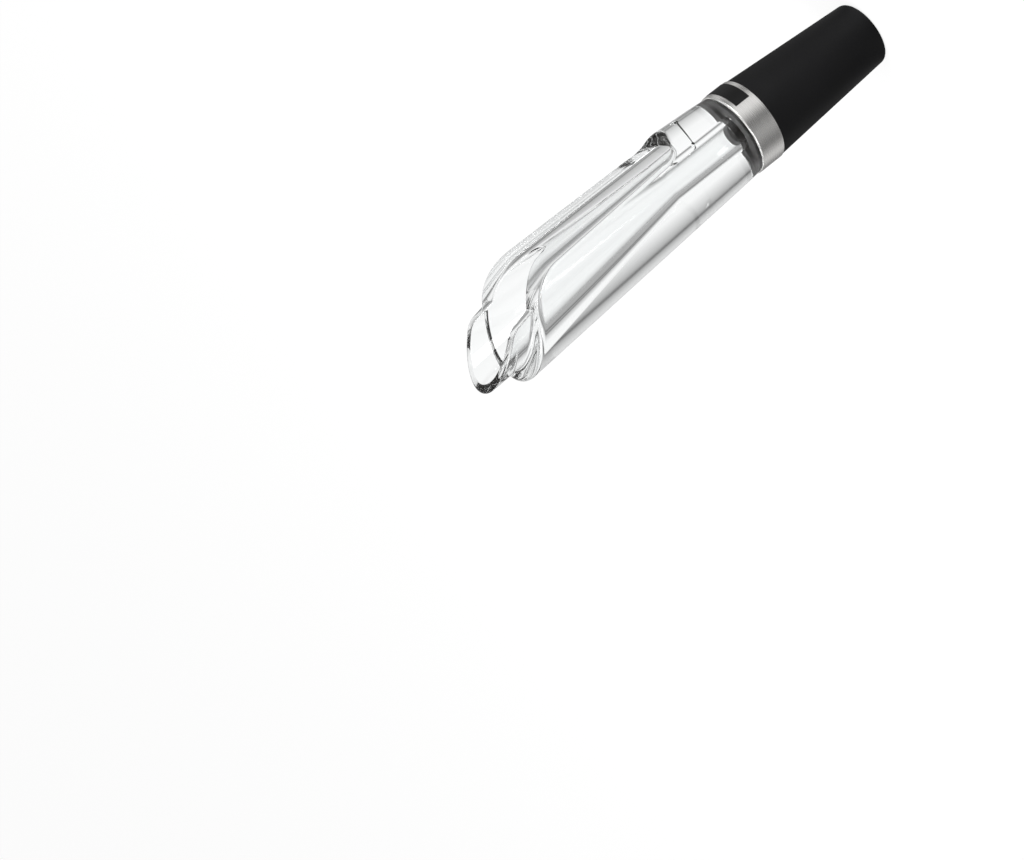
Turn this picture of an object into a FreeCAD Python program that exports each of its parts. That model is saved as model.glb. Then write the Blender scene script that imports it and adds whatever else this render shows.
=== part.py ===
"""Aerating pourer: a tapered rubber stopper, a steel band and a clear flared pouring body.

The axis is +Z. The origin is the centre of the stopper's lower end, and the outlet is at the top.
The window and the open side of the mouth and lip face -Y. Lengths are in millimetres.
"""
import FreeCAD, Part
import Sketcher
import math
import os

os.makedirs("parts", exist_ok=True)
doc = FreeCAD.newDocument("aerating_pourer")

SIZES = {
    # stopper
    "stopper_length": 38.0,
    "stopper_end_dia": 17.4,
    "stopper_top_dia": 22.6,
    "stopper_end_bevel": 1.0,
    # core inside the stopper and the band
    "stem_dia": 12.0,
    "stem_recess": 1.5,
    "passage_dia": 6.0,
    # band round the core's flange
    "band_proud": 0.2,
    "band_wall": 0.5,
    "band_width": 7.0,
    "band_edge_bevel": 0.2,
    # clear body: outside
    "foot_setback": 0.6,
    "foot_height": 5.0,
    "shoulder_dia": 23.2,
    "wall_end_dia": 33.6,
    "wall_end_height": 90.0,
    # clear body: chamber, which flares from the end of the passage
    "flare_start_height": 23.0,
    "chamber_tip_dia": 21.6,
    # clear body: air hole from the outside into the passage
    "air_hole_height": 11.0,
    "air_hole_dia": 1.4,
    # flat window and slanted mouth, as heights above the foot and rises from the axis
    "window_end_radius": 10.3,
    "window_end_height": 26.8,
    "window_rise_low": 8.4,
    "window_rise_high": 7.4,
    "mouth_corner_height": 69.5,
    "mouth_corner_radius": 14.0,
    "mouth_tip_height": 81.6,
    # lip beyond the mouth
    "lip_root_height": 60.0,
    "lip_root_dia": 23.2,
    "lip_tip_dia": 25.2,
    "lip_root_rise": 3.6,
    "lip_corner_height": 79.7,
    "lip_corner_rise": -0.4,
    "lip_corner_radius": 6.0,
    "lip_tip_height": 90.6,
    # bevels along the cut rims
    "outer_rim_bevel": 0.8,
    "lip_rim_bevel": 0.3,
    # how far the cutting blocks reach past what they cut
    "cutter_margin": 3.0,
}

sheet = doc.addObject("Spreadsheet::Sheet", "sizes")
for row, (alias, number) in enumerate(SIZES.items(), start=1):
    sheet.set(f"A{row}", alias)
    sheet.set(f"B{row}", str(number))
    sheet.setAlias(f"B{row}", alias)
doc.recompute()


class Size:
    """A number together with the expression that gives it from the sheet."""

    def __init__(self, number, formula):
        self.number = float(number)
        self.formula = formula

    def _join(self, other, sign, number):
        return Size(number, f"({self.formula} {sign} {other.formula})")

    def __add__(self, other):
        other = as_size(other)
        return self._join(other, "+", self.number + other.number)

    def __sub__(self, other):
        other = as_size(other)
        return self._join(other, "-", self.number - other.number)

    def __mul__(self, other):
        other = as_size(other)
        return self._join(other, "*", self.number * other.number)

    def __truediv__(self, other):
        other = as_size(other)
        return self._join(other, "/", self.number / other.number)

    def __neg__(self):
        return Size(-self.number, f"(0 - {self.formula})")


def as_size(value):
    return value if isinstance(value, Size) else Size(value, repr(float(value)))


def size(alias):
    return Size(sheet.get(alias), f"sizes.{alias}")


def at_height(low, high, low_height, high_height, height):
    """A value that changes evenly from low to high between two heights, taken at another height."""
    return low + (high - low) * (height - low_height) / (high_height - low_height)


ZERO = as_size(0)
ORIGIN = (-1, 1)
ON_SURFACE = 0.001
TURN = {
    "XZ": FreeCAD.Rotation(FreeCAD.Vector(1, 0, 0), 90),
    "YZ": FreeCAD.Rotation(FreeCAD.Vector(1, 1, 1), 120),
}


def fix_point(sketch, point, across, up):
    """Places one point of a sketch by two distances from the sketch's origin."""
    for kind, value in (("DistanceX", across), ("DistanceY", up)):
        index = sketch.addConstraint(Sketcher.Constraint(kind, *ORIGIN, *point, value.number))
        if value is not ZERO:
            sketch.setExpression(f"Constraints[{index}]", value.formula)


def fix_radius(sketch, arc, radius):
    index = sketch.addConstraint(Sketcher.Constraint("Radius", arc, radius.number))
    sketch.setExpression(f"Constraints[{index}]", radius.formula)


def outline(sketch, corners):
    """Draws a closed outline of straight edges. A corner is (across, up) or (across, up, round)."""
    points = [FreeCAD.Vector(corner[0].number, corner[1].number, 0) for corner in corners]
    arrive, leave, centres, left_turns = [], [], [], []
    for index, corner in enumerate(corners):
        here = points[index]
        back = (points[index - 1] - here).normalize()
        ahead = (points[(index + 1) % len(points)] - here).normalize()
        if len(corner) == 2:
            arrive.append(here)
            leave.append(here)
            centres.append(None)
            left_turns.append(None)
            continue
        half_angle = back.getAngle(ahead) / 2
        radius = corner[2].number
        reach = radius * (1 / math.tan(half_angle))
        arrive.append(here + back * reach)
        leave.append(here + ahead * reach)
        centres.append(here + (back + ahead).normalize() * (radius / math.sin(half_angle)))
        left_turns.append((back.cross(ahead)).z < 0)
    lines = []
    for index in range(len(points)):
        finish = arrive[(index + 1) % len(points)]
        lines.append(sketch.addGeometry(Part.LineSegment(leave[index], finish), False))
    for index, corner in enumerate(corners):
        line_in, line_out = lines[index - 1], lines[index]
        if centres[index] is None:
            sketch.addConstraint(Sketcher.Constraint("Coincident", line_in, 2, line_out, 1))
            fix_point(sketch, (line_out, 1), corner[0], corner[1])
            continue
        first, last = arrive[index], leave[index]
        if not left_turns[index]:
            first, last = last, first
        centre = centres[index]
        start = math.atan2(first.y - centre.y, first.x - centre.x)
        sweep = (math.atan2(last.y - centre.y, last.x - centre.x) - start) % (2 * math.pi)
        circle = Part.Circle(centre, FreeCAD.Vector(0, 0, 1), corner[2].number)
        arc = sketch.addGeometry(Part.ArcOfCircle(circle, start, start + sweep), False)
        arc_in, arc_out = (1, 2) if left_turns[index] else (2, 1)
        sketch.addConstraint(Sketcher.Constraint("Tangent", line_in, 2, arc, arc_in))
        sketch.addConstraint(Sketcher.Constraint("Tangent", line_out, 1, arc, arc_out))
        fix_radius(sketch, arc, corner[2])
        mark = sketch.addGeometry(Part.Point(points[index]), True)
        fix_point(sketch, (mark, 1), corner[0], corner[1])
        sketch.addConstraint(Sketcher.Constraint("PointOnObject", mark, 1, line_in))
        sketch.addConstraint(Sketcher.Constraint("PointOnObject", mark, 1, line_out))


def turned_body(name, corners):
    """A body turned about the axis from a half section of (radius, height) corners."""
    body = doc.addObject("PartDesign::Body", name)
    sketch = body.newObject("Sketcher::SketchObject", f"{name}_section")
    plane = next(item for item in body.Origin.OriginFeatures if item.Role == "YZ_Plane")
    sketch.AttachmentSupport = (plane, [""])
    sketch.MapMode = "FlatFace"
    outline(sketch, corners)
    turn = body.newObject("PartDesign::Revolution", f"{name}_turn")
    turn.Profile = sketch
    turn.ReferenceAxis = (sketch, ["V_Axis"])
    turn.Angle = 360
    body.Label = name
    return body


def free_sketch(name, plane):
    sketch = doc.addObject("Sketcher::SketchObject", name)
    sketch.Placement = FreeCAD.Placement(FreeCAD.Vector(), TURN[plane])
    return sketch


def symmetric_block(name, sketch, length):
    """A solid pushed out of a sketch equally to both sides."""
    block = doc.addObject("Part::Extrusion", name)
    block.Base = sketch
    block.DirMode = "Normal"
    block.Solid = True
    block.Symmetric = True
    block.setExpression("LengthFwd", length.formula)
    return block


def rim_edges(shape, surface_radius, above):
    """Numbers of the edges that a cut leaves on a flared surface, on one side of the window's end height.

    The surface's own seam is a line and its end rings are circles, so those are left out.
    """
    numbers = []
    for number, edge in enumerate(shape.Edges, start=1):
        middle = edge.valueAt((edge.FirstParameter + edge.LastParameter) / 2)
        height = middle.z - foot.number
        away = math.hypot(middle.x, middle.y) - surface_radius(as_size(height)).number
        is_cut = abs(away) < ON_SURFACE and not isinstance(edge.Curve, (Part.Line, Part.Circle))
        if is_cut and (height > size("window_end_height").number) == above:
            numbers.append(number)
    return numbers


def bevelled_rims(name, base, rims, above=True):
    """Bevels the rims of a cut solid. Each rim is (radius of the flared surface, width of the bevel)."""
    doc.recompute()
    bevels = doc.addObject("Part::Chamfer", name)
    bevels.Base = base
    bevels.Edges = [(number, width.number, width.number)
                    for surface_radius, width in rims
                    for number in rim_edges(base.Shape, surface_radius, above)]
    return bevels


foot = size("stopper_length") + size("band_width")
margin = size("cutter_margin")
passage_radius = size("passage_dia") / 2
band_radius = size("stopper_top_dia") / 2 + size("band_proud")
flange_radius = band_radius - size("band_wall")
foot_radius = band_radius - size("foot_setback")


def chamber_radius(height):
    """Radius of the flared chamber at a height above the foot."""
    return at_height(passage_radius, size("chamber_tip_dia") / 2,
                     size("flare_start_height"), size("lip_tip_height"), height)


def wall_radius(height):
    """Outer radius of the clear wall at a height above the foot."""
    return at_height(size("shoulder_dia") / 2, size("wall_end_dia") / 2,
                     size("foot_height"), size("wall_end_height"), height)


def lip_radius(height):
    """Outer radius of the lip at a height above the foot."""
    return at_height(size("lip_root_dia") / 2, size("lip_tip_dia") / 2,
                     size("lip_root_height"), size("lip_tip_height"), height)


# rubber stopper
end_bevel = size("stopper_end_bevel")
bevel_radius = at_height(size("stopper_end_dia") / 2, size("stopper_top_dia") / 2,
                         ZERO, size("stopper_length"), end_bevel)
stopper = turned_body("rubber_stopper", [
    (size("stem_dia") / 2, ZERO),
    (size("stopper_end_dia") / 2 - end_bevel, ZERO),
    (bevel_radius, end_bevel),
    (size("stopper_top_dia") / 2, size("stopper_length")),
    (size("stem_dia") / 2, size("stopper_length")),
])

# core: a hollow stem down the stopper, with a flange that fills the band
core = turned_body("inner_core", [
    (passage_radius, size("stem_recess")),
    (size("stem_dia") / 2, size("stem_recess")),
    (size("stem_dia") / 2, size("stopper_length")),
    (flange_radius, size("stopper_length")),
    (flange_radius, foot),
    (passage_radius, foot),
])

# steel band round the flange
band_bevel = size("band_edge_bevel")
band = turned_body("steel_band", [
    (flange_radius, size("stopper_length")),
    (band_radius - band_bevel, size("stopper_length")),
    (band_radius, size("stopper_length") + band_bevel),
    (band_radius, foot - band_bevel),
    (band_radius - band_bevel, foot),
    (flange_radius, foot),
])

# clear body: the thick flared wall round the passage and the chamber
wall = turned_body("thick_wall", [
    (passage_radius, foot),
    (foot_radius, foot),
    (size("shoulder_dia") / 2, foot + size("foot_height")),
    (size("wall_end_dia") / 2, foot + size("wall_end_height")),
    (chamber_radius(size("wall_end_height")), foot + size("wall_end_height")),
    (passage_radius, foot + size("flare_start_height")),
])

# flat window and slanted mouth: a side profile inside a plan outline that rounds the window's lower end
cut_low = size("window_end_height") - size("window_end_radius") - margin
cut_high = size("wall_end_height") + margin
cut_front = size("wall_end_dia") / 2 + margin
cut_rise = at_height(size("window_rise_low"), size("window_rise_high"),
                     size("window_end_height"), size("mouth_corner_height"), cut_low)
tip_rise = wall_radius(size("mouth_tip_height"))
overshoot = (cut_front + size("window_rise_high")) / (tip_rise + size("window_rise_high"))
slant_height = (size("mouth_tip_height") - size("mouth_corner_height")) * overshoot
side_profile = free_sketch("window_side", "YZ")
outline(side_profile, [
    (-cut_rise, foot + cut_low),
    (-size("window_rise_high"), foot + size("mouth_corner_height"), size("mouth_corner_radius")),
    (cut_front, foot + size("mouth_corner_height") + slant_height),
    (cut_front, foot + cut_high),
    (-cut_front, foot + cut_high),
    (-cut_front, foot + cut_low),
])
side_block = symmetric_block("window_side_block", side_profile, cut_front * 2)

plan_profile = free_sketch("window_plan", "XZ")
plan_centre = FreeCAD.Vector(0, (foot + size("window_end_height")).number, 0)
end_radius = size("window_end_radius")
plan_circle = Part.Circle(plan_centre, FreeCAD.Vector(0, 0, 1), end_radius.number)
plan_arc = plan_profile.addGeometry(Part.ArcOfCircle(plan_circle, math.pi, 2 * math.pi), False)
plan_points = [
    FreeCAD.Vector(end_radius.number, plan_centre.y, 0),
    FreeCAD.Vector(cut_front.number, (foot + cut_high).number, 0),
    FreeCAD.Vector(-cut_front.number, (foot + cut_high).number, 0),
    FreeCAD.Vector(-end_radius.number, plan_centre.y, 0),
]
plan_lines = [plan_profile.addGeometry(Part.LineSegment(first, last), False)
              for first, last in zip(plan_points, plan_points[1:])]
plan_profile.addConstraint(Sketcher.Constraint("Coincident", plan_arc, 2, plan_lines[0], 1))
plan_profile.addConstraint(Sketcher.Constraint("Coincident", plan_lines[0], 2, plan_lines[1], 1))
plan_profile.addConstraint(Sketcher.Constraint("Coincident", plan_lines[1], 2, plan_lines[2], 1))
plan_profile.addConstraint(Sketcher.Constraint("Coincident", plan_lines[2], 2, plan_arc, 1))
fix_point(plan_profile, (plan_arc, 3), ZERO, foot + size("window_end_height"))
fix_radius(plan_profile, plan_arc, end_radius)
plan_profile.addConstraint(Sketcher.Constraint("Horizontal", plan_arc, 1, plan_arc, 3))
plan_profile.addConstraint(Sketcher.Constraint("Horizontal", plan_arc, 2, plan_arc, 3))
fix_point(plan_profile, (plan_lines[0], 2), cut_front, foot + cut_high)
fix_point(plan_profile, (plan_lines[1], 2), -cut_front, foot + cut_high)
plan_block = symmetric_block("window_plan_block", plan_profile, cut_front * 2)

window_cutter = doc.addObject("Part::Common", "window_cutter")
window_cutter.Base = side_block
window_cutter.Tool = plan_block
open_wall = doc.addObject("Part::Cut", "open_wall")
open_wall.Base = wall
open_wall.Tool = window_cutter
wall_rims = [(wall_radius, size("outer_rim_bevel"))]
end_bevels = bevelled_rims("end_bevels", open_wall, wall_rims, above=False)
bevelled_wall = bevelled_rims("bevelled_wall", end_bevels, wall_rims)

# lip: the chamber's wall carried on as a thin open trough
lip_root, lip_tip = size("lip_root_height"), size("lip_tip_height")
lip_ring = turned_body("lip_ring", [
    (chamber_radius(lip_root), foot + lip_root),
    (lip_radius(lip_root), foot + lip_root),
    (lip_radius(lip_tip), foot + lip_tip),
    (chamber_radius(lip_tip), foot + lip_tip),
])
lip_low = lip_root - margin
lip_start_rise = at_height(size("lip_root_rise"), size("lip_corner_rise"),
                           lip_root, size("lip_corner_height"), lip_low)
lip_overshoot = ((cut_front + size("lip_corner_rise"))
                 / (lip_radius(lip_tip) + size("lip_corner_rise")))
lip_slant_height = (lip_tip - size("lip_corner_height")) * lip_overshoot
lip_profile = free_sketch("lip_side", "YZ")
outline(lip_profile, [
    (-lip_start_rise, foot + lip_low),
    (-size("lip_corner_rise"), foot + size("lip_corner_height"), size("lip_corner_radius")),
    (cut_front, foot + size("lip_corner_height") + lip_slant_height),
    (cut_front, foot + lip_tip + cut_front),
    (-cut_front, foot + lip_tip + cut_front),
    (-cut_front, foot + lip_low),
])
lip_block = symmetric_block("lip_side_block", lip_profile, cut_front * 2)
open_lip = doc.addObject("Part::Cut", "open_lip")
open_lip.Base = lip_ring
open_lip.Tool = lip_block
lip_rims = [(lip_radius, size("lip_rim_bevel")), (chamber_radius, size("lip_rim_bevel"))]
bevelled_lip = bevelled_rims("bevelled_lip", open_lip, lip_rims)

lipped_body = doc.addObject("Part::Fuse", "lipped_body")
lipped_body.Base = bevelled_wall
lipped_body.Tool = bevelled_lip
lipped_body.Refine = True

# air hole: laid along -Y, from the axis out past the wall
hole_height = size("air_hole_height")
air_hole = doc.addObject("Part::Cylinder", "air_hole")
air_hole.Placement.Rotation = FreeCAD.Rotation(FreeCAD.Vector(1, 0, 0), 90)
air_hole.setExpression("Radius", (size("air_hole_dia") / 2).formula)
air_hole.setExpression("Height", (wall_radius(hole_height) + margin).formula)
air_hole.setExpression("Placement.Base.z", (foot + hole_height).formula)
clear_body = doc.addObject("Part::Cut", "clear_pouring_body")
clear_body.Base = lipped_body
clear_body.Tool = air_hole
doc.recompute()

NODES = [clear_body, band, core, stopper]
for item in doc.Objects:
    if "Invalid" in item.State or "Error" in item.State:
        raise RuntimeError(f"{item.Label} did not rebuild")
for node in NODES:
    if node.Shape.isNull() or not node.Shape.isValid():
        raise RuntimeError(f"{node.Label} has no valid shape")
for node in NODES:
    node.Shape.exportStep(f"parts/{node.Label}.step")
    box = node.Shape.BoundBox
    print(node.Label, len(node.Shape.Solids), round(node.Shape.Volume, 2),
          [round(value, 2) for value in (box.XMin, box.XMax, box.YMin, box.YMax, box.ZMin, box.ZMax)])
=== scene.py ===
"""Looks of an aerating pourer: clear acrylic body, brushed steel band, black core and rubber stopper."""
import bmesh
import bpy
import math
import numpy as np
from mathutils import Matrix, Vector


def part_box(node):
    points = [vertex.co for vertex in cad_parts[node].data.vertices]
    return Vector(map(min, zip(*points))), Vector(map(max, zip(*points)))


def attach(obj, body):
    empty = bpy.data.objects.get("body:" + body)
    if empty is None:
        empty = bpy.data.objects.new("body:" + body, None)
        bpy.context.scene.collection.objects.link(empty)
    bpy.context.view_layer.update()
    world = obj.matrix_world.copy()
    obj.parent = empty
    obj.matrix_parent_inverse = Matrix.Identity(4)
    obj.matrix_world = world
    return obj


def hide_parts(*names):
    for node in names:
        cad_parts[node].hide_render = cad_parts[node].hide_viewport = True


MM = 0.001
# the least length that is divided by, and how alike two slopes may be before they are taken as this alike
TINY, ALIKE_LIMIT = 1e-9, 0.999
# how near, in millimetres, points of a solid's copy and of a turned piece lie before they are joined
COPY_MERGE, TURN_MERGE = 0.001, 0.0001

# clear body, in millimetres: heights are above its foot, rises are from the axis towards the window
FOOT_RADIUS, SHOULDER_RADIUS, SHOULDER_HEIGHT = 11.15, 11.6, 5.0
WALL_END_RADIUS, WALL_END_HEIGHT = 16.8, 90.0
PASSAGE_RADIUS, FLARE_START_HEIGHT, CHAMBER_TIP_RADIUS = 3.0, 23.0, 10.8
AIR_HOLE_HEIGHT, AIR_HOLE_INNER_RADIUS, AIR_HOLE_OUTER_RADIUS = 11.8, 0.45, 0.95
WINDOW_END_RADIUS, WINDOW_END_HEIGHT, WINDOW_SPREAD = 10.3, 26.8, 0.1435
WINDOW_RISE_LOW, WINDOW_RISE_HIGH = 8.4, 7.4
MOUTH_CORNER_HEIGHT, MOUTH_CORNER_RADIUS, MOUTH_TIP_HEIGHT = 69.5, 14.0, 81.6
LIP_ROOT_HEIGHT, LIP_ROOT_RISE, LIP_ROOT_RADIUS = 60.0, 3.6, 11.6
LIP_CORNER_HEIGHT, LIP_CORNER_RISE, LIP_CORNER_RADIUS = 79.7, -0.4, 6.0
LIP_TIP_HEIGHT, LIP_TIP_RADIUS = 90.6, 12.6
# its foot sinks a little into the core's face, so that no gap shows between them
FOOT_SINK = 0.1

# rounds and fillets of the clear body, in millimetres
OUTER_RIM_ROUND, LIP_RIM_ROUND, MOUTH_RIM_ROUND = 1.2, 0.4, 0.4
SHOULDER_ROUND, FLARE_ROUND, WINDOW_FILLET, LIP_FILLET = 4.0, 8.0, 0.6, 1.0
AIR_HOLE_ROUND, FOOT_ROUND, PASSAGE_RIM_ROUND, BURIED_EDGE_ROUND = 0.12, 0.5, 0.1, 0.1

# skin of the clear body: cells in millimetres, and the turn in degrees along an edge that gets it halved
SKIN_CELL, TURN_LIMIT = 0.46, 7.5
HALVINGS, DRAWING_STEPS = 2, 8

# turned pieces: lengths in millimetres, and steps in a turn and in a rounded edge
STEM_RADIUS, STOPPER_END_RADIUS = 6.0, 8.7
BAND_ROUND, STOPPER_END_ROUND, STOPPER_TOP_ROUND, CORE_ROUND = 0.2, 1.2, 0.3, 0.25
TURN_STEPS, ROUND_STEPS = 160, 6

# blank field on the band: lengths in millimetres, and half its reach round the band in degrees
FIELD_HEIGHT, FIELD_THICKNESS, FIELD_SINK, FIELD_EDGE = 4.4, 0.12, 0.02, 0.04
FIELD_HALF_ANGLE, FIELD_STEPS, CORNER_ANGLE = 43.0, 48, 40.0

# camera: its place in metres, and the directions of its back and its top
CAMERA_PLACE = Vector((-717.3, -281.9, 369.5)) * MM
CAMERA_BACK = Vector((-0.88016, -0.37615, 0.28953))
CAMERA_UP = Vector((0.13995, -0.78848, -0.59893))
CAMERA_LENS, SENSOR_WIDTH, CLIP_START = 118.66, 36.0, 0.05

# what clear plastic sees round the object, as (place in a turn, tone): dark flags with soft edges
FLAG = ((-0.065, 1.0), (-0.035, 0.66), (-0.0125, 0.40), (0.0, 0.06), (0.0125, 0.40), (0.035, 0.66),
        (0.065, 1.0))
DOUBLE_FLAG = ((0.638, 1.0), (0.675, 0.70), (0.698, 0.50), (0.7075, 0.08), (0.718, 0.48), (0.7305, 0.10),
               (0.743, 0.40), (0.80, 0.42), (0.86, 0.96))
FLAG_PLACES = (0.1892, 0.4392, 0.9392)
flags = [[(place + step, tone) for step, tone in FLAG] for place in FLAG_PLACES]
CLEAR_TONES = ((0.0, 1.0), *flags[0], *flags[1], *DOUBLE_FLAG, *flags[2][1:-1], (1.0, 0.97))

# what metal sees round the object: bright panels between dark ones
METAL_TONES = ((0.0, 0.33), (0.056, 0.12), (0.13, 0.95), (0.18, 0.95), (0.256, 0.16), (0.356, 0.70),
               (0.456, 0.18), (0.556, 0.70), (0.656, 0.18), (0.756, 0.80), (0.856, 0.16), (0.956, 0.46),
               (1.0, 0.33))

# floor, background and light: lengths in metres
FLOOR_HALF_WIDTH = 3.0
BACKGROUND_LEVEL, WORLD_LEVEL = 0.975, 0.85
# the camera sees this share of the floor as glow, and the rest as a lit surface that keeps the shadow
FLOOR_SHARE, FLOOR_GLOW = 0.8, 1.02
LIGHT_TARGET = Vector((0, 0, 0.07))
# the thick wall leads light far, so its paths are long
LIGHT_BOUNCES = 24

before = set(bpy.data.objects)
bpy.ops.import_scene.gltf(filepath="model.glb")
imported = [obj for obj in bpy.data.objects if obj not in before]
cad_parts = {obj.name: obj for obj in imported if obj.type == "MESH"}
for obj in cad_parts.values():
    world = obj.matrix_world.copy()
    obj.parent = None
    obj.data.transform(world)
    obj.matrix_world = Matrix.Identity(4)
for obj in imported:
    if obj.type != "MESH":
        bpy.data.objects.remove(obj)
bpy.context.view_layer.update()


def box_mm(node):
    """A node's lowest and highest corners in millimetres."""
    low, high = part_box(node)
    return low / MM, high / MM


foot_z = box_mm("clear_pouring_body")[0].z


# clear body, as distances outside each surface of the moulding and the slopes of those distances
def rounded_both(first, second, radius):
    """What two solids share, with the edge between them rounded to a radius."""
    (first_gap, first_slope), (second_gap, second_slope) = first, second
    alike = np.clip((first_slope * second_slope).sum(1), -ALIKE_LIMIT, ALIKE_LIMIT)
    first_part = (first_gap + radius - alike * (second_gap + radius)) / (1 - alike ** 2)
    second_part = (second_gap + radius - alike * (first_gap + radius)) / (1 - alike ** 2)
    reach = first_part[:, None] * first_slope + second_part[:, None] * second_slope
    length = np.maximum(np.linalg.norm(reach, axis=1), TINY)
    on_round = (first_part > 0) & (second_part > 0)
    gap = np.where(on_round, length - radius, np.maximum(first_gap, second_gap))
    flat_slope = np.where((first_gap > second_gap)[:, None], first_slope, second_slope)
    return gap, np.where(on_round[:, None], reach / length[:, None], flat_slope)


def outside_of(solid):
    return -solid[0], -solid[1]


def rounded_either(first, second, radius):
    """Two solids joined, with a fillet where they meet."""
    return outside_of(rounded_both(outside_of(first), outside_of(second), radius))


def without(solid, hollow, radius):
    """A solid with a hollow taken out and the hollow's rims rounded."""
    return rounded_both(solid, outside_of(hollow), radius)


def same_slope(points, slope):
    return np.tile(slope, (len(points), 1))


def flared(points, low_radius, low_height, high_radius, high_height):
    """A cone or cylinder round the axis, given by its radius at two heights."""
    growth = (high_radius - low_radius) / (high_height - low_height)
    length = math.hypot(1, growth)
    radius = np.maximum(np.hypot(points[:, 0], points[:, 1]), TINY)
    gap = (radius - low_radius - growth * (points[:, 2] - low_height)) / length
    rise = np.full(len(points), -growth)
    slope = np.column_stack((points[:, 0] / radius, points[:, 1] / radius, rise))
    return gap, slope / length


def below_line(points, start, end):
    """What lies below a line of the side profile, whose ends are (rise, height)."""
    along = Vector((end[0] - start[0], end[1] - start[1])).normalized()
    gap = (-points[:, 1] - start[0]) * along.y - (points[:, 2] - start[1]) * along.x
    return gap, same_slope(points, (0.0, -along.y, -along.x))


def beside_window(points):
    """What lies outside the window's plan: a slot that widens upwards from a round lower end."""
    length = math.hypot(1, WINDOW_SPREAD)
    above = points[:, 2] - WINDOW_END_HEIGHT
    level = np.zeros(len(points))
    radius = np.maximum(np.hypot(points[:, 0], above), TINY)
    round_slope = np.column_stack((-points[:, 0] / radius, level, -above / radius))
    side_gap = (WINDOW_END_RADIUS + WINDOW_SPREAD * above - np.abs(points[:, 0])) / length
    side_slope = np.column_stack((-np.sign(points[:, 0]), level, level + WINDOW_SPREAD))
    is_low = above < 0
    gap = np.where(is_low, WINDOW_END_RADIUS - radius, side_gap)
    return gap, np.where(is_low[:, None], round_slope, side_slope / length)


def air_hole(points):
    """A tapered hole from the passage out to the window's side."""
    taper = (AIR_HOLE_OUTER_RADIUS - AIR_HOLE_INNER_RADIUS) / (SHOULDER_RADIUS - PASSAGE_RADIUS)
    rise, above = -points[:, 1], points[:, 2] - AIR_HOLE_HEIGHT
    radius = np.maximum(np.hypot(points[:, 0], above), TINY)
    hole = (radius - AIR_HOLE_INNER_RADIUS - taper * (rise - PASSAGE_RADIUS),
            np.column_stack((points[:, 0] / radius, np.full(len(points), taper), above / radius)))
    one_side = -rise, same_slope(points, (0.0, 1.0, 0.0))
    return rounded_both(hole, one_side, BURIED_EDGE_ROUND)


def thick_wall(points):
    """The flared wall with its flat window and slanted mouth, solid inside."""
    wall_growth = (WALL_END_RADIUS - SHOULDER_RADIUS) / (WALL_END_HEIGHT - SHOULDER_HEIGHT)
    tip_radius = SHOULDER_RADIUS + wall_growth * (MOUTH_TIP_HEIGHT - SHOULDER_HEIGHT)
    wall = rounded_both(
        flared(points, SHOULDER_RADIUS, SHOULDER_HEIGHT, WALL_END_RADIUS, WALL_END_HEIGHT),
        flared(points, FOOT_RADIUS, 0.0, SHOULDER_RADIUS, SHOULDER_HEIGHT), SHOULDER_ROUND)
    mouth_corner = (WINDOW_RISE_HIGH, MOUTH_CORNER_HEIGHT)
    window_flat = below_line(points, (WINDOW_RISE_LOW, WINDOW_END_HEIGHT), mouth_corner)
    mouth_slant = below_line(points, mouth_corner, (-tip_radius, MOUTH_TIP_HEIGHT))
    under_cut = rounded_both(window_flat, mouth_slant, MOUTH_CORNER_RADIUS)
    uncut = rounded_either(under_cut, beside_window(points), WINDOW_FILLET)
    return rounded_both(wall, uncut, OUTER_RIM_ROUND)


def thin_lip(points):
    """The lip beyond the mouth, solid inside, from its root within the wall."""
    lip_corner = (LIP_CORNER_RISE, LIP_CORNER_HEIGHT)
    lip_side = below_line(points, (LIP_ROOT_RISE, LIP_ROOT_HEIGHT), lip_corner)
    lip_slant = below_line(points, lip_corner, (-LIP_TIP_RADIUS, LIP_TIP_HEIGHT))
    lip = flared(points, LIP_ROOT_RADIUS, LIP_ROOT_HEIGHT, LIP_TIP_RADIUS, LIP_TIP_HEIGHT)
    lip = rounded_both(lip, rounded_both(lip_side, lip_slant, LIP_CORNER_RADIUS), LIP_RIM_ROUND)
    lip_start = LIP_ROOT_HEIGHT - points[:, 2], same_slope(points, (0.0, 0.0, -1.0))
    return rounded_both(lip, lip_start, BURIED_EDGE_ROUND)


def clear_body(points):
    """The whole moulding, at points in millimetres above the foot."""
    body = rounded_either(thick_wall(points), thin_lip(points), LIP_FILLET)
    foot = -points[:, 2] - FOOT_SINK, same_slope(points, (0.0, 0.0, -1.0))
    body = rounded_both(body, foot, FOOT_ROUND)
    passage = flared(points, PASSAGE_RADIUS, 0.0, PASSAGE_RADIUS, FLARE_START_HEIGHT)
    flare = flared(points, PASSAGE_RADIUS, FLARE_START_HEIGHT, CHAMBER_TIP_RADIUS, LIP_TIP_HEIGHT)
    rim_round = np.where(points[:, 2] > FLARE_START_HEIGHT, MOUTH_RIM_ROUND, PASSAGE_RIM_ROUND)
    body = without(body, rounded_either(passage, flare, FLARE_ROUND), rim_round)
    return without(body, air_hole(points), AIR_HOLE_ROUND)


def merged_copy(node, name):
    """A copy of a solid's mesh with its loose triangles joined."""
    shape = bmesh.new()
    shape.from_mesh(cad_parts[node].data)
    bmesh.ops.remove_doubles(shape, verts=shape.verts, dist=COPY_MERGE * MM)
    mesh = bpy.data.meshes.new(name)
    shape.to_mesh(mesh)
    shape.free()
    piece = bpy.data.objects.new(name, mesh)
    bpy.context.scene.collection.objects.link(piece)
    return piece


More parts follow.
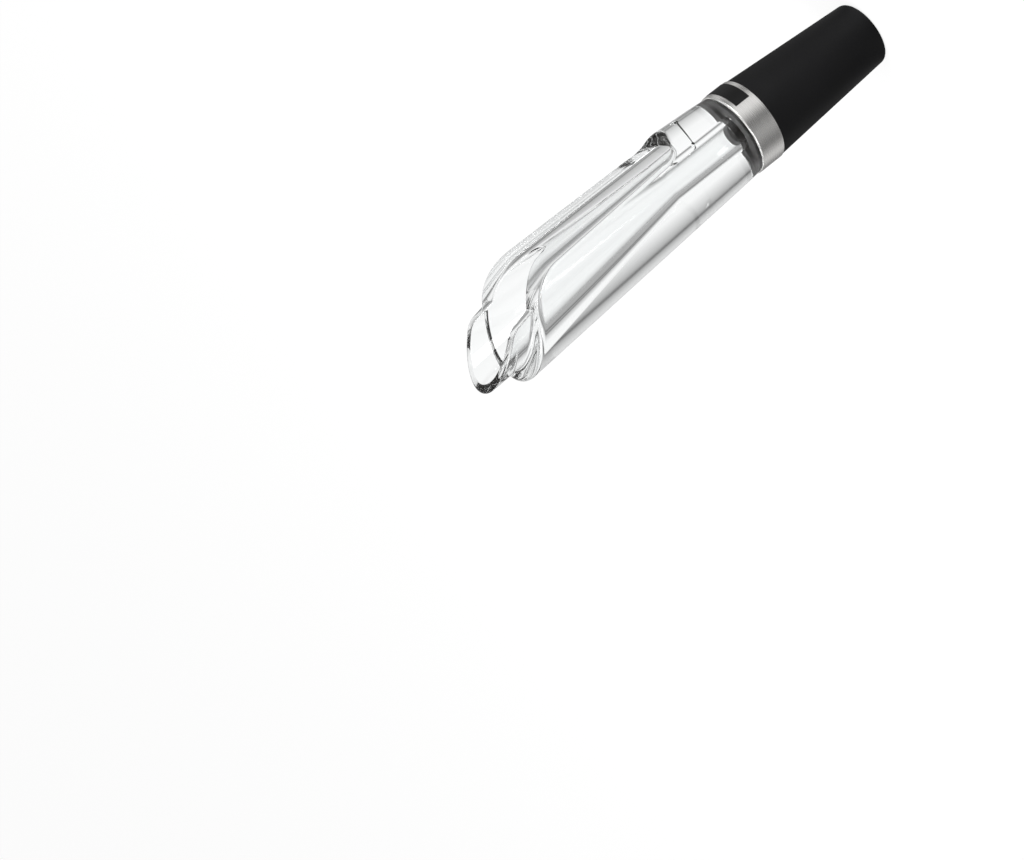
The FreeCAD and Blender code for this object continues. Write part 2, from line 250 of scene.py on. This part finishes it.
def draw_onto_body(mesh):
    """Moves each vertex onto the moulding's true surface, and gives the surface's normals there."""
    foot = np.array([0, 0, foot_z])
    places = np.empty(len(mesh.vertices) * 3)
    mesh.vertices.foreach_get("co", places)
    points = places.reshape(-1, 3) / MM - foot
    for _ in range(DRAWING_STEPS):
        gap, slope = clear_body(points)
        points -= gap[:, None] * slope
    mesh.vertices.foreach_set("co", ((points + foot) * MM).ravel())
    normals = clear_body(points)[1]
    return normals / np.linalg.norm(normals, axis=1)[:, None]


def halve_turning_edges(mesh, normals):
    """Finer cells where the surface turns, such as rims, fillets and the narrow passage."""
    ends = np.empty(len(mesh.edges) * 2, dtype=np.int32)
    mesh.edges.foreach_get("vertices", ends)
    first, second = ends.reshape(-1, 2).T
    is_turning = (normals[first] * normals[second]).sum(1) < math.cos(math.radians(TURN_LIMIT))
    shape = bmesh.new()
    shape.from_mesh(mesh)
    shape.edges.ensure_lookup_table()
    turning = [shape.edges[index] for index in np.flatnonzero(is_turning)]
    bmesh.ops.subdivide_edges(shape, edges=turning, cuts=1, use_grid_fill=True)
    bmesh.ops.triangulate(shape, faces=[face for face in shape.faces if len(face.verts) > 4])
    shape.to_mesh(mesh)
    shape.free()


def make_clear_body():
    """The solid's skin in even cells, drawn onto the moulding's true surface with its rims rounded."""
    piece = merged_copy("clear_pouring_body", "clear_body_moulding")
    cells = piece.modifiers.new("even_cells", "REMESH")
    cells.mode = "VOXEL"
    cells.voxel_size = SKIN_CELL * MM
    depsgraph = bpy.context.evaluated_depsgraph_get()
    mesh = bpy.data.meshes.new_from_object(piece.evaluated_get(depsgraph))
    piece.modifiers.clear()
    piece.data = mesh
    for _ in range(HALVINGS):
        halve_turning_edges(mesh, draw_onto_body(mesh))
    normals = draw_onto_body(mesh)
    mesh.update()
    mesh.shade_smooth()
    mesh.normals_split_custom_set_from_vertices(normals)
    return piece


# turned pieces
def rounded_section(corners):
    """Points of a closed half section. A corner is (radius, height, round) in millimetres.

    A round has one more point on each side of it, which keeps the faces beside it flat.
    """
    points = []
    for index, (radius, height, rounding) in enumerate(corners):
        here = Vector((radius, height))
        if rounding == 0:
            points.append(here)
            continue
        back = (Vector(corners[index - 1][:2]) - here).normalized()
        ahead = (Vector(corners[(index + 1) % len(corners)][:2]) - here).normalized()
        half = back.angle(ahead) / 2
        reach = rounding / math.tan(half)
        middle = here + (back + ahead).normalized() * (rounding / math.sin(half))
        first, last = here + back * reach, here + ahead * reach
        points.append(here + back * reach * 2)
        for step in range(ROUND_STEPS + 1):
            spoke = (first - middle).lerp(last - middle, step / ROUND_STEPS).normalized()
            points.append(middle + spoke * rounding)
        points.append(here + ahead * reach * 2)
    return points


def turned_piece(name, corners):
    """A closed piece turned about the axis."""
    shape = bmesh.new()
    ring = [shape.verts.new((point.x * MM, 0, point.y * MM)) for point in rounded_section(corners)]
    edges = [shape.edges.new((ring[index - 1], ring[index])) for index in range(len(ring))]
    bmesh.ops.spin(shape, geom=ring + edges, cent=(0, 0, 0), axis=(0, 0, 1), dvec=(0, 0, 0),
                   angle=math.tau, steps=TURN_STEPS, use_merge=True)
    bmesh.ops.remove_doubles(shape, verts=shape.verts, dist=TURN_MERGE * MM)
    bmesh.ops.recalc_face_normals(shape, faces=shape.faces)
    mesh = bpy.data.meshes.new(name)
    shape.to_mesh(mesh)
    shape.free()
    mesh.shade_smooth()
    piece = bpy.data.objects.new(name, mesh)
    bpy.context.scene.collection.objects.link(piece)
    return piece


def make_band():
    low, high = box_mm("steel_band")
    flange_radius = box_mm("inner_core")[1].x
    return turned_piece("band_ring", [
        (flange_radius, low.z, 0), (high.x, low.z, BAND_ROUND),
        (high.x, high.z, BAND_ROUND), (flange_radius, high.z, 0)])


def make_core():
    low, high = box_mm("inner_core")
    band_low = box_mm("steel_band")[0].z
    return turned_piece("core_turning", [
        (PASSAGE_RADIUS, low.z, CORE_ROUND), (STEM_RADIUS, low.z, CORE_ROUND),
        (STEM_RADIUS, band_low, 0), (high.x, band_low, 0),
        (high.x, high.z, 0), (PASSAGE_RADIUS, high.z, 0)])


def make_stopper():
    low, high = box_mm("rubber_stopper")
    return turned_piece("stopper_plug", [
        (STEM_RADIUS, low.z, CORE_ROUND), (STOPPER_END_RADIUS, low.z, STOPPER_END_ROUND),
        (high.x, high.z, STOPPER_TOP_ROUND), (STEM_RADIUS, high.z, 0)])


def make_blank_field():
    """A thin bare plate bent round the band, made as a slab one unit thick and then brought to size."""
    low, high = box_mm("steel_band")
    middle = (low.z + high.z) / 2
    shape = bmesh.new()
    bmesh.ops.create_grid(shape, x_segments=FIELD_STEPS, y_segments=2, size=1.0)
    bmesh.ops.solidify(shape, geom=shape.faces[:], thickness=1.0)
    halfway = max(vert.co.z for vert in shape.verts) - 0.5
    for vert in shape.verts:
        angle = math.radians(FIELD_HALF_ANGLE) * vert.co.x
        radius = high.x - FIELD_SINK + (FIELD_THICKNESS if vert.co.z > halfway else 0)
        height = middle + vert.co.y * FIELD_HEIGHT / 2
        vert.co = Vector((radius * math.sin(angle), -radius * math.cos(angle), height)) * MM
    bmesh.ops.recalc_face_normals(shape, faces=shape.faces)
    corners = [edge for edge in shape.edges if edge.calc_face_angle(0) > math.radians(CORNER_ANGLE)]
    bmesh.ops.bevel(shape, geom=corners, offset=FIELD_EDGE * MM, affect="EDGES", segments=2,
                    profile=0.5, material=-1)
    mesh = bpy.data.meshes.new("blank_field")
    shape.to_mesh(mesh)
    shape.free()
    piece = bpy.data.objects.new("blank_field", mesh)
    bpy.context.scene.collection.objects.link(piece)
    return piece


# finishes
def new_material(name):
    material = bpy.data.materials.new(name)
    material.use_nodes = True
    nodes = material.node_tree.nodes
    return material, nodes, material.node_tree.links, nodes["Principled BSDF"]


def uneven_group():
    """Noise stretched along chosen directions, put out as a mask and as a level between two values."""
    group = bpy.data.node_groups.new("fine_unevenness", "ShaderNodeTree")
    socket = group.interface.new_socket
    socket("Stretch", in_out="INPUT", socket_type="NodeSocketVector")
    socket("Scale", in_out="INPUT", socket_type="NodeSocketFloat")
    socket("Detail", in_out="INPUT", socket_type="NodeSocketFloat")
    socket("Low", in_out="INPUT", socket_type="NodeSocketFloat")
    socket("High", in_out="INPUT", socket_type="NodeSocketFloat")
    socket("Mask", in_out="OUTPUT", socket_type="NodeSocketFloat")
    socket("Level", in_out="OUTPUT", socket_type="NodeSocketFloat")
    nodes, links = group.nodes, group.links
    given, result = nodes.new("NodeGroupInput"), nodes.new("NodeGroupOutput")
    place, mapping = nodes.new("ShaderNodeTexCoord"), nodes.new("ShaderNodeMapping")
    noise, spread = nodes.new("ShaderNodeTexNoise"), nodes.new("ShaderNodeMapRange")
    links.new(place.outputs["Object"], mapping.inputs["Vector"])
    links.new(given.outputs["Stretch"], mapping.inputs["Scale"])
    links.new(mapping.outputs["Vector"], noise.inputs["Vector"])
    links.new(given.outputs["Scale"], noise.inputs["Scale"])
    links.new(given.outputs["Detail"], noise.inputs["Detail"])
    links.new(noise.outputs["Fac"], spread.inputs["Value"])
    links.new(given.outputs["Low"], spread.inputs["To Min"])
    links.new(given.outputs["High"], spread.inputs["To Max"])
    links.new(noise.outputs["Fac"], result.inputs["Mask"])
    links.new(spread.outputs["Result"], result.inputs["Level"])
    return group


UNEVEN = uneven_group()


def add_uneven(nodes, stretch, scale, detail, low, high):
    node = nodes.new("ShaderNodeGroup")
    node.node_tree = UNEVEN
    node.inputs["Stretch"].default_value = stretch
    node.inputs["Scale"].default_value = scale
    node.inputs["Detail"].default_value = detail
    node.inputs["Low"].default_value = low
    node.inputs["High"].default_value = high
    return node


def add_colour(nodes, links, shader, mask, dark, light):
    """A base colour that varies between two tones by a mask."""
    colour = nodes.new("ShaderNodeMix")
    colour.data_type = "RGBA"
    colour.inputs["A"].default_value = (*dark, 1)
    colour.inputs["B"].default_value = (*light, 1)
    links.new(mask, colour.inputs["Factor"])
    links.new(colour.outputs["Result"], shader.inputs["Base Color"])


def add_bump(nodes, links, shader, height, strength, depth):
    """Fine relief by a height, whose depth is in millimetres."""
    bump = nodes.new("ShaderNodeBump")
    bump.inputs["Strength"].default_value = strength
    bump.inputs["Distance"].default_value = depth * MM
    links.new(height, bump.inputs["Height"])
    links.new(bump.outputs["Normal"], shader.inputs["Normal"])


def clear_acrylic():
    material, nodes, links, shader = new_material("clear_acrylic")
    shader.inputs["Base Color"].default_value = (0.97, 0.98, 0.98, 1)
    shader.inputs["IOR"].default_value = 1.49
    shader.inputs["Transmission Weight"].default_value = 1.0
    polish = add_uneven(nodes, stretch=(1, 1, 0.3), scale=260.0, detail=2.0, low=0.0, high=0.03)
    links.new(polish.outputs["Level"], shader.inputs["Roughness"])
    return material


def brushed_steel():
    material, nodes, links, shader = new_material("brushed_steel")
    shader.inputs["Metallic"].default_value = 1.0
    shader.inputs["Anisotropic"].default_value = 0.5
    brushing = add_uneven(nodes, stretch=(1, 1, 40), scale=260.0, detail=3.0, low=0.18, high=0.34)
    mask = brushing.outputs["Mask"]
    add_colour(nodes, links, shader, mask, dark=(0.62, 0.61, 0.60), light=(0.90, 0.89, 0.87))
    links.new(brushing.outputs["Level"], shader.inputs["Roughness"])
    add_bump(nodes, links, shader, mask, strength=0.35, depth=0.02)
    return material


def black_plastic():
    material, nodes, links, shader = new_material("black_plastic")
    shader.inputs["Specular IOR Level"].default_value = 0.1
    grain = add_uneven(nodes, stretch=(1, 1, 1), scale=900.0, detail=3.0, low=0.36, high=0.52)
    mask = grain.outputs["Mask"]
    add_colour(nodes, links, shader, mask, dark=(0.008, 0.0065, 0.006), light=(0.016, 0.013, 0.012))
    links.new(grain.outputs["Level"], shader.inputs["Roughness"])
    add_bump(nodes, links, shader, mask, strength=0.15, depth=0.02)
    return material


def black_rubber():
    material, nodes, links, shader = new_material("black_rubber")
    shader.inputs["Specular IOR Level"].default_value = 0.12
    grain = add_uneven(nodes, stretch=(1, 1, 1), scale=1600.0, detail=4.0, low=0.55, high=0.72)
    cloud = add_uneven(nodes, stretch=(1, 1, 0.6), scale=90.0, detail=3.0, low=0.0, high=1.0)
    add_colour(nodes, links, shader, cloud.outputs["Level"],
               dark=(0.0025, 0.0025, 0.0028), light=(0.0055, 0.0055, 0.006))
    links.new(grain.outputs["Level"], shader.inputs["Roughness"])
    add_bump(nodes, links, shader, grain.outputs["Mask"], strength=0.25, depth=0.04)
    return material


def field_black():
    material, nodes, links, shader = new_material("field_black")
    shader.inputs["Specular IOR Level"].default_value = 0.15
    shader.inputs["Base Color"].default_value = (0.004, 0.004, 0.004, 1)
    grain = add_uneven(nodes, stretch=(1, 1, 12), scale=400.0, detail=2.0, low=0.38, high=0.50)
    links.new(grain.outputs["Level"], shader.inputs["Roughness"])
    add_bump(nodes, links, shader, grain.outputs["Mask"], strength=0.1, depth=0.01)
    return material


def dress(piece, material, node=None):
    """Gives a piece its finish and its body, and hides the node that it stands for."""
    piece.data.materials.clear()
    piece.data.materials.append(material)
    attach(piece, "root")
    if node:
        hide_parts(node)
    return piece


steel, rubber = brushed_steel(), black_rubber()
acrylic, core_black = clear_acrylic(), black_plastic()
dress(make_clear_body(), acrylic, "clear_pouring_body")
dress(make_band(), steel, "steel_band")
dress(make_core(), core_black, "inner_core")
dress(make_stopper(), rubber, "rubber_stopper")
dress(make_blank_field(), field_black())


# floor, background and light
def tones_round(nodes, links, place, tones):
    """Grey tones by direction round the object's axis."""
    around, ramp = nodes.new("ShaderNodeTexGradient"), nodes.new("ShaderNodeValToRGB")
    around.gradient_type = "RADIAL"
    stops = ramp.color_ramp.elements
    for stop, (_, tone) in ((stops[0], tones[0]), (stops[1], tones[-1])):
        stop.color = (tone, tone, tone, 1)
    for position, tone in tones[1:-1]:
        stops.new(position).color = (tone, tone, tone, 1)
    links.new(place, around.inputs["Vector"])
    links.new(around.outputs["Fac"], ramp.inputs["Fac"])
    return ramp.outputs["Color"]


def studio_tone(nodes, links, place, path):
    """Soft dark flags for what clear plastic lets through, and bright panels for what metal reflects."""
    tone = nodes.new("ShaderNodeMix")
    tone.data_type = "RGBA"
    links.new(path.outputs["Is Transmission Ray"], tone.inputs["Factor"])
    links.new(tones_round(nodes, links, place, METAL_TONES), tone.inputs["A"])
    links.new(tones_round(nodes, links, place, CLEAR_TONES), tone.inputs["B"])
    return tone.outputs["Result"]


def seen_by_pieces(nodes, links, path):
    """One for a ray that a piece reflects or lets through, and otherwise nought."""
    either = nodes.new("ShaderNodeMath")
    either.operation = "MAXIMUM"
    links.new(path.outputs["Is Glossy Ray"], either.inputs[0])
    links.new(path.outputs["Is Transmission Ray"], either.inputs[1])
    return either.outputs[0]


def make_floor():
    """A floor that is white to the camera, keeps the shadow, and shows the pieces the studio's tones."""
    shape = bmesh.new()
    bmesh.ops.create_grid(shape, x_segments=1, y_segments=1, size=FLOOR_HALF_WIDTH)
    mesh = bpy.data.meshes.new("floor")
    shape.to_mesh(mesh)
    shape.free()
    floor = bpy.data.objects.new("floor", mesh)
    bpy.context.scene.collection.objects.link(floor)
    material, nodes, links, shader = new_material("floor_white")
    shader.inputs["Base Color"].default_value = (0.9, 0.9, 0.9, 1)
    shader.inputs["Roughness"].default_value = 0.9
    glow, seen_tone = nodes.new("ShaderNodeEmission"), nodes.new("ShaderNodeEmission")
    to_camera, to_pieces = nodes.new("ShaderNodeMixShader"), nodes.new("ShaderNodeMixShader")
    path, place = nodes.new("ShaderNodeLightPath"), nodes.new("ShaderNodeTexCoord")
    share = nodes.new("ShaderNodeMath")
    share.operation = "MULTIPLY"
    share.inputs[1].default_value = FLOOR_SHARE
    glow.inputs["Strength"].default_value = FLOOR_GLOW
    links.new(path.outputs["Is Camera Ray"], share.inputs[0])
    links.new(share.outputs[0], to_camera.inputs["Fac"])
    links.new(shader.outputs["BSDF"], to_camera.inputs[1])
    links.new(glow.outputs["Emission"], to_camera.inputs[2])
    links.new(studio_tone(nodes, links, place.outputs["Object"], path), seen_tone.inputs["Color"])
    links.new(seen_by_pieces(nodes, links, path), to_pieces.inputs["Fac"])
    links.new(to_camera.outputs["Shader"], to_pieces.inputs[1])
    links.new(seen_tone.outputs["Emission"], to_pieces.inputs[2])
    links.new(to_pieces.outputs["Shader"], nodes["Material Output"].inputs["Surface"])
    mesh.materials.append(material)


def make_world():
    """White to the camera, soft light for matt pieces, and the studio's tones for clear ones and metal."""
    world = bpy.data.worlds.new("studio")
    bpy.context.scene.world = world
    world.use_nodes = True
    nodes, links = world.node_tree.nodes, world.node_tree.links
    nodes.clear()
    output = nodes.new("ShaderNodeOutputWorld")
    path, place = nodes.new("ShaderNodeLightPath"), nodes.new("ShaderNodeTexCoord")
    soft, seen_tone, white = [nodes.new("ShaderNodeBackground") for _ in range(3)]
    to_pieces, to_camera = nodes.new("ShaderNodeMixShader"), nodes.new("ShaderNodeMixShader")
    soft.inputs["Color"].default_value = (1, 1, 1, 1)
    soft.inputs["Strength"].default_value = WORLD_LEVEL
    white.inputs["Color"].default_value = (1, 1, 1, 1)
    white.inputs["Strength"].default_value = BACKGROUND_LEVEL
    links.new(studio_tone(nodes, links, place.outputs["Generated"], path), seen_tone.inputs["Color"])
    links.new(seen_by_pieces(nodes, links, path), to_pieces.inputs["Fac"])
    links.new(soft.outputs["Background"], to_pieces.inputs[1])
    links.new(seen_tone.outputs["Background"], to_pieces.inputs[2])
    links.new(path.outputs["Is Camera Ray"], to_camera.inputs["Fac"])
    links.new(to_pieces.outputs["Shader"], to_camera.inputs[1])
    links.new(white.outputs["Background"], to_camera.inputs[2])
    links.new(to_camera.outputs["Shader"], output.inputs["Surface"])


def add_softbox(name, place, side, power):
    """A square lamp that faces the object, with its place and side in metres and its power in watts."""
    light = bpy.data.lights.new(name, "AREA")
    light.shape, light.size, light.energy = "SQUARE", side, power
    lamp = bpy.data.objects.new(name, light)
    turn = (Vector(place) - LIGHT_TARGET).to_track_quat("Z", "Y").to_matrix().to_4x4()
    lamp.matrix_world = Matrix.Translation(place) @ turn
    bpy.context.scene.collection.objects.link(lamp)


def make_camera():
    right = CAMERA_UP.cross(CAMERA_BACK)
    turn = Matrix((right, CAMERA_UP, CAMERA_BACK)).transposed().to_4x4()
    data = bpy.data.cameras.new("camera")
    data.lens, data.sensor_width = CAMERA_LENS, SENSOR_WIDTH
    data.clip_start = CLIP_START
    camera = bpy.data.objects.new("camera", data)
    camera.matrix_world = Matrix.Translation(CAMERA_PLACE) @ turn
    bpy.context.scene.collection.objects.link(camera)
    bpy.context.scene.camera = camera


make_floor()
make_world()
add_softbox("low_key", place=(-0.30, -0.80, 0.25), side=0.5, power=7.0)
add_softbox("high_fill", place=(-0.50, 0.30, 0.80), side=0.6, power=5.0)
make_camera()
bpy.context.scene.view_settings.view_transform = "Standard"
light_paths = bpy.context.scene.cycles
light_paths.max_bounces = LIGHT_BOUNCES
light_paths.transmission_bounces = LIGHT_BOUNCES
light_paths.glossy_bounces = LIGHT_BOUNCES
